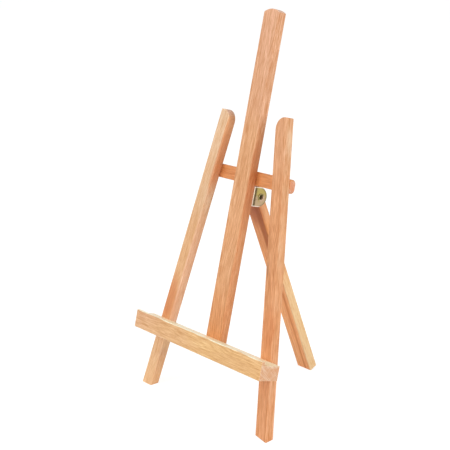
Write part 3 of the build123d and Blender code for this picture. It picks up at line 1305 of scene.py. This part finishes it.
@dataclass
class FrontFrame:
    """Mast, two splayed stiles, ledge and crossbar."""

    stance: Stance
    splay_deg: float = 9.9

    def lies(self) -> dict[str, Lie]:
        """Work out how each stick lies.

        Returns:
            The lie of each stick, by node name.
        """
        up, back = self.stance.up, self.stance.back
        splay = math.radians(self.splay_deg)
        lies = {"mast": Lie(middle_of("mast"), RIGHT, back, up)}
        for node, side in (("left_stile", -1), ("right_stile", 1)):
            along = up * math.cos(splay) - RIGHT * side * math.sin(splay)
            lies[node] = Lie(middle_of(node), back.cross(along), back, along)
        for node, middle in (
            ("ledge", self.stance.seat),
            ("crossbar", middle_of("crossbar")),
        ):
            lies[node] = Lie(middle, back.cross(RIGHT), back, RIGHT)
        return lies

    def finishes(self) -> dict[str, Beech]:
        """Choose the wood of each stick.

        Returns:
            The finish of each stick, by node name.
        """
        return {
            "mast": Beech(
                "mast beech", 1.7, 188.0,
                head=(0.75, 0.382, 0.205),
                middle=(0.77, 0.39, 0.178),
                # Deeper orange foot: partly the wood, partly painted shade and warm light
                # reflected from the ledge.
                foot=(0.757, 0.333, 0.124),
                pith=(-34.0, 22.0),
                streak_depth=1.3,
                bands=(
                    # Right side bands: painted shadow of the right stile, deepest in the middle
                    # band; the lowest is partly deeper wood.
                    Band((0.75, 0.30, 0.115), (14.0, 0.0, -70.0), (3.0, 30.0, 130.0), 0.75),
                    Band((0.56, 0.185, 0.055), (14.0, 0.0, 12.0), (3.0, 30.0, 58.0), 0.8),
                    Band((0.64, 0.30, 0.135), (14.0, 0.0, 112.0), (3.0, 30.0, 24.0), 0.5),
                ),
            ),
            "left_stile": Beech(
                "left stile beech", 4.1, 165.0,
                head=(0.82, 0.54, 0.323),
                middle=(0.80, 0.447, 0.21),
                # Paler foot: painted light against the ledge's shadow.
                foot=(0.93, 0.565, 0.29),
                pith=(-26.0, 40.0),
                ring_depth=0.3,
                streak_depth=0.85,
                fleck_depth=0.25,
                sawn_tone=(0.62, 0.32, 0.20),
                saw_mark=(0.78, 0.58, 0.46),
                bands=(
                    # Painted shadow of the mast on the right side near the top.
                    Band((0.81, 0.385, 0.165), (10.5, 0.0, 146.0), (3.2, 30.0, 26.0), 0.88),
                    Band((0.66, 0.30, 0.14), (5.0, 1.5, 158.0), (7.0, 4.9, 9.0), 0.8),
                    # Painted shadow of the mast on the right side.
                    Band((0.68, 0.25, 0.087), (10.0, 0.0, 107.0), (3.0, 30.0, 38.0), 0.8),
                    # Paler right side lower down: painted light, strongest where the ledge
                    # shades it.
                    Band((0.885, 0.52, 0.33), (10.0, 0.0, -48.0), (2.6, 30.0, 100.0), 0.75),
                    Band((1.0, 0.66, 0.36), (10.0, 0.0, -106.0), (2.6, 30.0, 16.0), 0.8),
                    Band((0.88, 0.49, 0.235), (10.0, 0.0, -150.0), (2.6, 30.0, 24.0), 0.8),
                    # Painted shade and warm reflected light on the front just above the ledge.
                    Band((0.71, 0.26, 0.086), (-2.0, -5.0, -62.0), (12.0, 6.0, 30.0), 0.88),
                ),
            ),
            "right_stile": Beech(
                "right stile beech", 6.6, 165.0,
                head=(0.755, 0.37, 0.175),
                middle=(0.73, 0.32, 0.127),
                foot=(0.79, 0.345, 0.142),
                pith=(30.0, 34.0),
                streak_depth=1.3,
                bands=(
                    # Paler right side: painted light from the right.
                    Band((0.755, 0.51, 0.305), (10.0, 0.0, 40.0), (2.6, 30.0, 300.0), 0.66),
                    Band((0.80, 0.56, 0.35), (10.0, 0.0, 150.0), (2.6, 30.0, 40.0), 0.75),
                    Band((0.76, 0.56, 0.35), (10.0, 0.0, 96.0), (2.6, 30.0, 26.0), 0.6),
                    Band((0.82, 0.55, 0.36), (10.0, 0.0, -125.0), (2.6, 30.0, 52.0), 0.7),
                    # Painted shade and warm reflected light on the front just above the ledge.
                    Band((0.70, 0.245, 0.075), (0.0, -5.0, -54.0), (9.0, 4.0, 24.0), 0.75),
                    Band((0.30, 0.12, 0.05), (-7.2, -5.0, 6.0), (0.9, 4.0, 9.0), 0.7),
                ),
            ),
            "ledge": Beech(
                "ledge beech", 9.2, 112.0,
                head=(0.82, 0.462, 0.184),
                middle=(0.83, 0.49, 0.198),
                foot=(0.775, 0.428, 0.21),
                pith=(11.0, 58.0),
                ring_spacing=2.4,
                ring_depth=0.2,
                roughness=(0.30, 0.42),
                sawn_tone=(0.68, 0.335, 0.185),
                saw_mark=(0.85, 0.64, 0.48),
                bands=(
                    # Painted sheen: the lip's top and the seat are near white, standing for the
                    # white surroundings reflected at a grazing angle.
                    Band((1.0, 0.93, 0.66), (-4.9, 0.0, 0.0), (1.3, 40.0, 400.0), 1.0),
                    Band((0.98, 0.83, 0.55), (0.4, 2.0, 0.0), (2.6, 13.0, 400.0), 1.0),
                ),
            ),
            "crossbar": Beech(
                "crossbar beech", 12.4, 67.0,
                head=(0.79, 0.31, 0.093),
                middle=(0.775, 0.298, 0.093),
                foot=(0.775, 0.296, 0.095),
                streak_depth=0.9,
                sawn_tone=(0.70, 0.28, 0.16),
                saw_mark=(0.82, 0.52, 0.38),
            ),
        }

    def dress(self, frame: dict, groups: Groups) -> None:
        """Give each stick its finish.

        Args:
            groups: The shared node groups.
        """
        finishes = self.finishes()
        for node, lie in self.lies().items():
            dress(frame["nodes"][node], finishes[node].material(lie, groups))
            log.info("%s: beech along its length", node)


@dataclass
class RearLeg:
    """Rear leg that folds on the bracket's rivet."""

    stance: Stance

    def lie(self) -> Lie:
        """Work out how the opened leg lies, from the pivot."""
        along = Matrix.Rotation(self.stance.opening, 3, RIGHT) @ self.stance.up
        return Lie(self.stance.pivot, RIGHT, along.cross(RIGHT), along)

    def finish(self) -> Beech:
        """Choose the leg's wood.

        Returns:
            A finish whose right side is paler lower down, as painted light from the right, with
            painted shade below the pivot, and a brown streak in front that is partly a painted
            shadow.
        """
        return Beech(
            "rear leg beech", 15.9, 232.0,
            # Dark head: painted shade under the bracket.
            head=(0.62, 0.235, 0.08),
            middle=(0.84, 0.375, 0.14),
            foot=(0.97, 0.43, 0.148),
            bands=(
                # Right side: paler lower down as painted light from the right, and darker near
                # the head.
                Band((0.87, 0.60, 0.31), (12.0, 0.0, -212.0), (2.2, 30.0, 144.0), 0.95),
                Band((0.71, 0.285, 0.097), (12.0, 0.0, -70.0), (2.2, 30.0, 26.0), 0.7),
                Band((0.75, 0.38, 0.18), (12.0, 0.0, -14.0), (2.2, 30.0, 20.0), 0.7),
                # Brown streak down the front: partly the wood, partly a painted shadow of the
                # mast.
                Band((0.69, 0.225, 0.035), (5.0, -5.0, -110.0), (2.0, 4.0, 400.0), 0.95,
                     slant=0.0115),
                # Painted shade on the front below the pivot, where the mast shades it.
                Band((0.56, 0.155, 0.035), (0.0, -5.0, -14.0), (18.0, 4.0, 24.0), 0.8),
                # Painted shadow down the right part of the front, below the bracket.
                Band((0.48, 0.12, 0.0), (6.9, -5.0, -48.0), (6.0, 1.6, 48.0), 0.8),
            ),
        )

    def dress(self, frame: dict, groups: Groups) -> None:
        """Give the leg its finish.

        Args:
            groups: The shared node groups.
        """
        dress(frame["nodes"]["rear_leg"], self.finish().material(self.lie(), groups))
        log.info("rear_leg: beech along its length")


@dataclass(frozen=True)
class WoodScrew:
    """A wood screw with a cross recess. Lengths are in millimetres, with z = 0 at its seat.

    The seat is the underside of a domed head, or the top of a countersunk one. The flank says
    how steep the sides of the thread are, from 1 for a plain V.
    """

    radius: float
    head_radius: float
    length: float
    dome: float = 0.0
    rim: float = 0.0
    crown_steps: int = 8
    sunk_edge: float = 0.12
    core_share: float = 0.72
    pitch: float = 1.3
    flank: float = 1.4
    bare_share: float = 0.2
    tip: float = 3.0
    recess_width: float = 0.9
    recess_depth: float = 1.3
    recess_share: float = 1.15
    recess_taper_deg: float = 8.0
    recess_above: float = 0.3
    crease_deg: float = 32.0
    steps: int = 24
    rings_per_turn: int = 8

    def groove(self, angle: float, height: float) -> float:
        """Tell how deep the thread is cut at a point.

        Args:
            angle: Angle round the screw.
            height: Height, negative below the seat.

        Returns:
            The depth below the thread's crest.
        """
        start = -self.length * self.bare_share
        if height > start or height <= -self.length:
            return 0.0
        turns = height / self.pitch - angle / math.tau
        off_crest = abs(turns - math.floor(turns) - 0.5) * 2
        fade = min(1.0, (start - height) / self.pitch)
        left = min(1.0, (height + self.length) / self.tip)
        cut = min(1.0, off_crest * self.flank)
        return self.radius * (1 - self.core_share) * cut * fade * left

    def head(self) -> list[Point]:
        """Give the outline of the head, from its middle to the shank.

        Returns:
            Radius and height of each point.
        """
        if self.dome:
            crown = arc((0.0, self.rim), (self.head_radius, self.dome - self.rim), 90, 0,
                        self.crown_steps)
            return [(0.0, self.dome), *crown[1:], (self.head_radius, 0.0), (self.radius, 0.0)]
        return [
            (0.0, 0.0),
            (self.head_radius - self.sunk_edge, 0.0),
            (self.head_radius, -self.sunk_edge / 2),
            (self.radius, self.radius - self.head_radius),
        ]

    def profile(self) -> list[Point]:
        """Give the whole outline, from the middle of the head down to the point.

        Returns:
            Radius and height of each point.
        """
        head = self.head()
        top = head[-1][1]
        count = int((self.length + top) / self.pitch * self.rings_per_turn)
        shank = []
        for ring in range(1, count):
            height = top - (self.length + top) * ring / count
            shank.append((self.radius * min(1.0, (height + self.length) / self.tip), height))
        return [*head, *shank, (0.0, -self.length)]

    def recess(self) -> bmesh.types.BMesh:
        """Make the tapered cross that is taken out of the head.

        Returns:
            The cross, which starts above the head.
        """
        made = bmesh.new()
        slant = math.tan(math.radians(self.recess_taper_deg))
        outlines = []
        for depth in (-self.recess_above, self.recess_depth):
            inset = depth * slant
            reach = self.head_radius * self.recess_share / 2 - inset
            half = self.recess_width / 2 - inset
            arm = ((reach, -half), (reach, half), (half, half))
            outlines.append([
                made.verts.new((*(Matrix.Rotation(quarter * math.pi / 2, 2) @ Vector(corner)),
                                self.dome - depth))
                for quarter in range(4)
                for corner in arm
            ])
        upper, lower = outlines
        made.faces.new(upper)
        made.faces.new(lower)
        for i in range(len(upper)):
            j = (i + 1) % len(upper)
            made.faces.new((upper[i], upper[j], lower[j], lower[i]))
        bmesh.ops.recalc_face_normals(made, faces=made.faces)
        return made

    def shape(self) -> bmesh.types.BMesh:
        """Make the whole screw, in millimetres.

        Returns:
            The screw, with its thread and its recess.
        """
        made = carve(turn(self.profile(), self.steps, groove=self.groove), self.recess())
        crease(made, self.crease_deg)
        return made


@dataclass(frozen=True)
class EyeletRivet:
    """Tubular rivet whose ends are rolled outwards. Lengths are in millimetres."""

    half_grip: float = 12.75
    bore: float = 2.3
    radius: float = 2.75
    flange: float = 4.3
    flange_edge: float = 0.2
    flange_inset: float = 0.08
    thickness: float = 0.9
    mouth: float = 0.85
    mouth_steps: int = 8
    roll_steps: int = 10
    crease_deg: float = 40.0
    steps: int = 72

    def shape(self) -> bmesh.types.BMesh:
        """Make the rivet round the z axis.

        Returns:
            The rivet.
        """
        face = self.half_grip + self.thickness
        crest = self.bore + self.mouth
        funnel = arc((crest, face - self.mouth), (self.mouth, self.mouth), 180, 90,
                     self.mouth_steps)
        roll = arc((crest, self.half_grip + self.flange_edge),
                   (self.flange - crest, self.thickness - self.flange_edge), 90, 0,
                   self.roll_steps)
        end = [*funnel, *roll[1:], (self.flange - self.flange_inset, self.half_grip),
               (self.radius, self.half_grip)]
        other = [(radius, -height) for radius, height in reversed(end)]
        made = turn([*end, *other], self.steps, tube=True)
        crease(made, self.crease_deg)
        return made


@dataclass
class HingeHardware:
    """Bracket, rivet and all the screws. Lengths are in millimetres."""

    stance: Stance
    crossbar_depth: float = 7.5
    seat_depth: float = 21.0
    seat_to_screws: float = 8.0
    frame_depth: float = 10.0
    web_to_pivot: float = 9.9
    bracket_screw_drop: float = 5.6
    bracket_edge_round: float = 0.22
    bracket_edge_steps: int = 3
    bracket_edge_deg: float = 50.0
    frame_screw: WoodScrew = WoodScrew(1.5, 3.0, 15.0)
    ledge_screw: WoodScrew = WoodScrew(1.75, 3.4, 28.0, pitch=1.6)
    bracket_screw: WoodScrew = WoodScrew(1.5, 2.75, 9.0, dome=2.0, rim=0.7)
    turns_seed: int = 41

    def rows(self) -> Iterator[tuple[str, WoodScrew, Vector, list[float]]]:
        """List the rows of screws.

        Yields:
            The node's name, the screw, the middle of the row at the top of the heads' seat,
            and the screws' distances from it, in metres.
        """
        up, back = self.stance.up, self.stance.back
        web = self.stance.pivot - back * self.web_to_pivot * MM
        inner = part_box("bracket_screws")[1].x - self.bracket_screw.head_radius * MM
        yield ("bracket_screws", self.bracket_screw, web - up * self.bracket_screw_drop * MM,
               [-inner, inner])
        behind_crossbar = middle_of("crossbar") + back * self.crossbar_depth / 2 * MM
        behind_seat = (back * (self.seat_depth / 2 + self.frame_depth)
                       - up * self.seat_to_screws)
        for node, screw, middle in (
            ("crossbar_screws", self.frame_screw, behind_crossbar),
            ("ledge_screws", self.ledge_screw, self.stance.seat + behind_seat * MM),
        ):
            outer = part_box(node)[1].x - screw.head_radius * MM
            yield node, screw, middle, [-outer, -inner, inner, outer]

    def build_screws(self, plating: bpy.types.Material) -> None:
        """Turn the screws and drive them in.

        Args:
            plating: Their finish.
        """
        chance = random.Random(self.turns_seed)
        up, back = self.stance.up, self.stance.back
        axes = Matrix((up, RIGHT, back)).transposed().to_4x4() @ Matrix.Scale(MM, 4)
        for node, screw, middle, offsets in self.rows():
            pattern = piece("pattern", screw.shape())
            row = bmesh.new()
            for offset in offsets:
                first = len(row.verts)
                row.from_mesh(pattern.data)
                row.verts.ensure_lookup_table()
                spin = Matrix.Rotation(chance.uniform(0.0, math.pi / 2), 4, "Z")
                seat = Matrix.Translation(middle + RIGHT * offset)
                bmesh.ops.transform(row, matrix=seat @ axes @ spin, verts=row.verts[first:])
            bpy.data.objects.remove(pattern)
            driven = piece(node + "_driven", row)
            dress(driven, plating)
            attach(driven, FRONT_BODY)
            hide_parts(node)
            log.info("%s: %d turned screws with cross recesses", driven.name, len(offsets))

    def build_rivet(self, plating: bpy.types.Material) -> None:
        """Set the rolled rivet through the bracket's ears and the leg.

        Args:
            plating: Its finish.
        """
        made = EyeletRivet().shape()
        axes = Matrix.Rotation(math.pi / 2, 4, "Y") @ Matrix.Scale(MM, 4)
        place = Matrix.Translation(self.stance.pivot) @ axes
        bmesh.ops.transform(made, matrix=place, verts=made.verts)
        rivet = piece("hinge_rivet_rolled", made)
        dress(rivet, plating)
        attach(rivet, FRONT_BODY)
        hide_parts("hinge_rivet")
        log.info("%s: tube with rolled ends", rivet.name)

    def finish_bracket(self, bracket: bpy.types.Object, plating: bpy.types.Material) -> None:
        """Round the bracket's cut edges a little, and plate it.

        Args:
            bracket: The bracket.
            plating: Its finish.
        """
        weld = bracket.modifiers.new("one skin", "WELD")
        weld.merge_threshold = SLIVER * MM
        rounding = bracket.modifiers.new("deburred edges", "BEVEL")
        rounding.width = self.bracket_edge_round * MM
        rounding.segments = self.bracket_edge_steps
        rounding.limit_method = "ANGLE"
        rounding.angle_limit = math.radians(self.bracket_edge_deg)
        rounding.harden_normals = True
        dress(bracket, plating)
        log.info("%s: deburred and plated", bracket.name)

    def build(self, frame: dict, groups: Groups) -> None:
        """Make and finish all the metal.

        Args:
            groups: The shared node groups.
        """
        lie = Lie(self.stance.pivot, RIGHT, self.stance.back, self.stance.up)
        bracket = BentZinc("bracket zinc", 3.0, yellow=(0.47, 0.368, 0.115),
                           pale=(0.49, 0.352, 0.21), pale_share=1.0)
        # The rivet's pale colour shows as painted light on the lit side of its mouths.
        rivet = RolledZinc("rivet zinc", 8.0, yellow=(0.36, 0.29, 0.12),
                           pale=(0.63, 0.45, 0.30))
        screws = Zinc("screw zinc", 5.0, pale_share=0.35)
        self.finish_bracket(frame["nodes"]["hinge_bracket"], bracket.material(lie, groups))
        self.build_rivet(rivet.material(lie, groups))
        self.build_screws(screws.material(lie, groups))


# ---- Studio -----------------------------------------------------------------------------
def seen_directly(tree: Tree) -> Wire:
    """Tell rays that see a surface, or its mirror image, from those that light others.

    Args:
        tree: The tree of the material or the world.

    Returns:
        The mask, 1 for a ray that sees.
    """
    path = tree.node("LightPath").outputs
    seen = tree.math("MAXIMUM", path["Is Camera Ray"], path["Is Glossy Ray"])
    return tree.math("MAXIMUM", seen, path["Is Transmission Ray"])


@dataclass(frozen=True)
class SoftLight:
    """A large square lamp that faces the easel. Lengths are in metres, the power in watts."""

    name: str
    place: Triple
    side: float
    power: float

    def build(self, target: Vector) -> None:
        """Hang the lamp.

        Args:
            target: The point that it faces.
        """
        lamp = bpy.data.lights.new(self.name, "AREA")
        lamp.shape = "SQUARE"
        lamp.size = self.side
        lamp.energy = self.power
        hung = bpy.data.objects.new(self.name, lamp)
        hung.location = self.place
        hung.rotation_euler = (target - hung.location).to_track_quat("-Z", "Y").to_euler()
        bpy.context.scene.collection.objects.link(hung)


@dataclass(frozen=True)
class Viewpoint:
    """Where the camera stands, in metres, and how it is turned."""

    place: Triple = (0.97337, -0.75586, 0.56543)
    bearing_deg: float = 53.125
    tilt_deg: float = -16.75
    roll_deg: float = -4.45
    lens_mm: float = 94.7
    sensor_mm: float = 36.0

    def build(self) -> None:
        """Set up the camera."""
        bearing, tilt, roll = map(
            math.radians, (self.bearing_deg, self.tilt_deg, self.roll_deg))
        ahead = Vector((-math.sin(bearing) * math.cos(tilt),
                        math.cos(bearing) * math.cos(tilt), math.sin(tilt)))
        level = Vector((math.cos(bearing), math.sin(bearing), 0.0))
        above = level.cross(ahead)
        rolled_right = level * math.cos(roll) + above * math.sin(roll)
        rolled_above = above * math.cos(roll) - level * math.sin(roll)
        axes = Matrix((rolled_right, rolled_above, -ahead)).transposed()
        camera = bpy.data.cameras.new("camera")
        camera.lens = self.lens_mm
        camera.sensor_width = self.sensor_mm
        stand = bpy.data.objects.new("camera", camera)
        stand.matrix_world = Matrix.Translation(self.place) @ axes.to_4x4()
        bpy.context.scene.collection.objects.link(stand)
        bpy.context.scene.camera = stand


@dataclass
class Studio:
    """Pale floor, white surroundings and soft lamps. Lengths are in metres."""

    ambient: float = 0.5
    floor_half: float = 9.0
    floor_parts: int = 8
    floor_seen: float = 0.34
    floor_glow: float = 0.83
    floor_bounce: float = 0.82
    floor_roughness: float = 0.9
    viewpoint: Viewpoint = Viewpoint()
    lamps: tuple[SoftLight, ...] = (
        SoftLight("front key", (-0.95, -2.04, 1.5), 1.4, 18.0),
        SoftLight("right side", (2.02, -0.18, 0.74), 0.8, 17.0),
        SoftLight("top light", (0.0, -0.67, 2.71), 1.4, 14.0),
    )
    lit_point: Triple = (0.0, 0.0, 0.2)

    def build_world(self) -> None:
        """White all round, and dimmer as a light."""
        world = bpy.data.worlds.new("studio")
        bpy.context.scene.world = world
        world.use_nodes = True
        tree = Tree(world.node_tree)
        strength = tree.ramp(seen_directly(tree), 0.0, 1.0, self.ambient, 1.0,
                             Slope.STRAIGHT)
        light = tree.node("Background", Color=(1.0, 1.0, 1.0), Strength=strength)
        tree.node("OutputWorld", Surface=light.outputs[0])

    def build_floor(self) -> None:
        """Lay the floor, which looks white and keeps the easel's shadow."""
        grid = bmesh.new()
        bmesh.ops.create_grid(grid, x_segments=self.floor_parts, y_segments=self.floor_parts,
                              size=self.floor_half)
        floor = piece("floor", grid)
        paint, tree = blank_material("white floor")
        seen = seen_directly(tree)
        shader = tree.node(
            "BsdfPrincipled",
            Base_Color=tree.mix(seen, (self.floor_bounce,) * 3, (self.floor_seen,) * 3),
            Roughness=self.floor_roughness,
            Specular_IOR_Level=0.0,
            Emission_Color=(1.0, 1.0, 1.0),
            Emission_Strength=tree.math("MULTIPLY", seen, self.floor_glow),
        )
        tree.node("OutputMaterial", Surface=shader.outputs[0])
        dress(floor, paint)

    def build(self) -> None:
        """Set up the studio round the easel."""
        bpy.context.scene.view_settings.view_transform = "Standard"
        self.viewpoint.build()
        self.build_world()
        self.build_floor()
        for lamp in self.lamps:
            lamp.build(Vector(self.lit_point))
        log.info("studio: %d lamps", len(self.lamps))


def main() -> None:
    """Build the easel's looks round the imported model."""
    logging.basicConfig(level=logging.INFO, format="%(name)s: %(message)s")
    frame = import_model()
    groups = Groups(BeechGrain(), FibreBand(), FaceKind(), SawnEnd(), ZincBloom())
    stance = Stance.read(frame)
    FrontFrame(stance).dress(frame, groups)
    RearLeg(stance).dress(frame, groups)
    HingeHardware(stance).build(frame, groups)
    Studio().build()


if __name__ == "__main__":
    main()
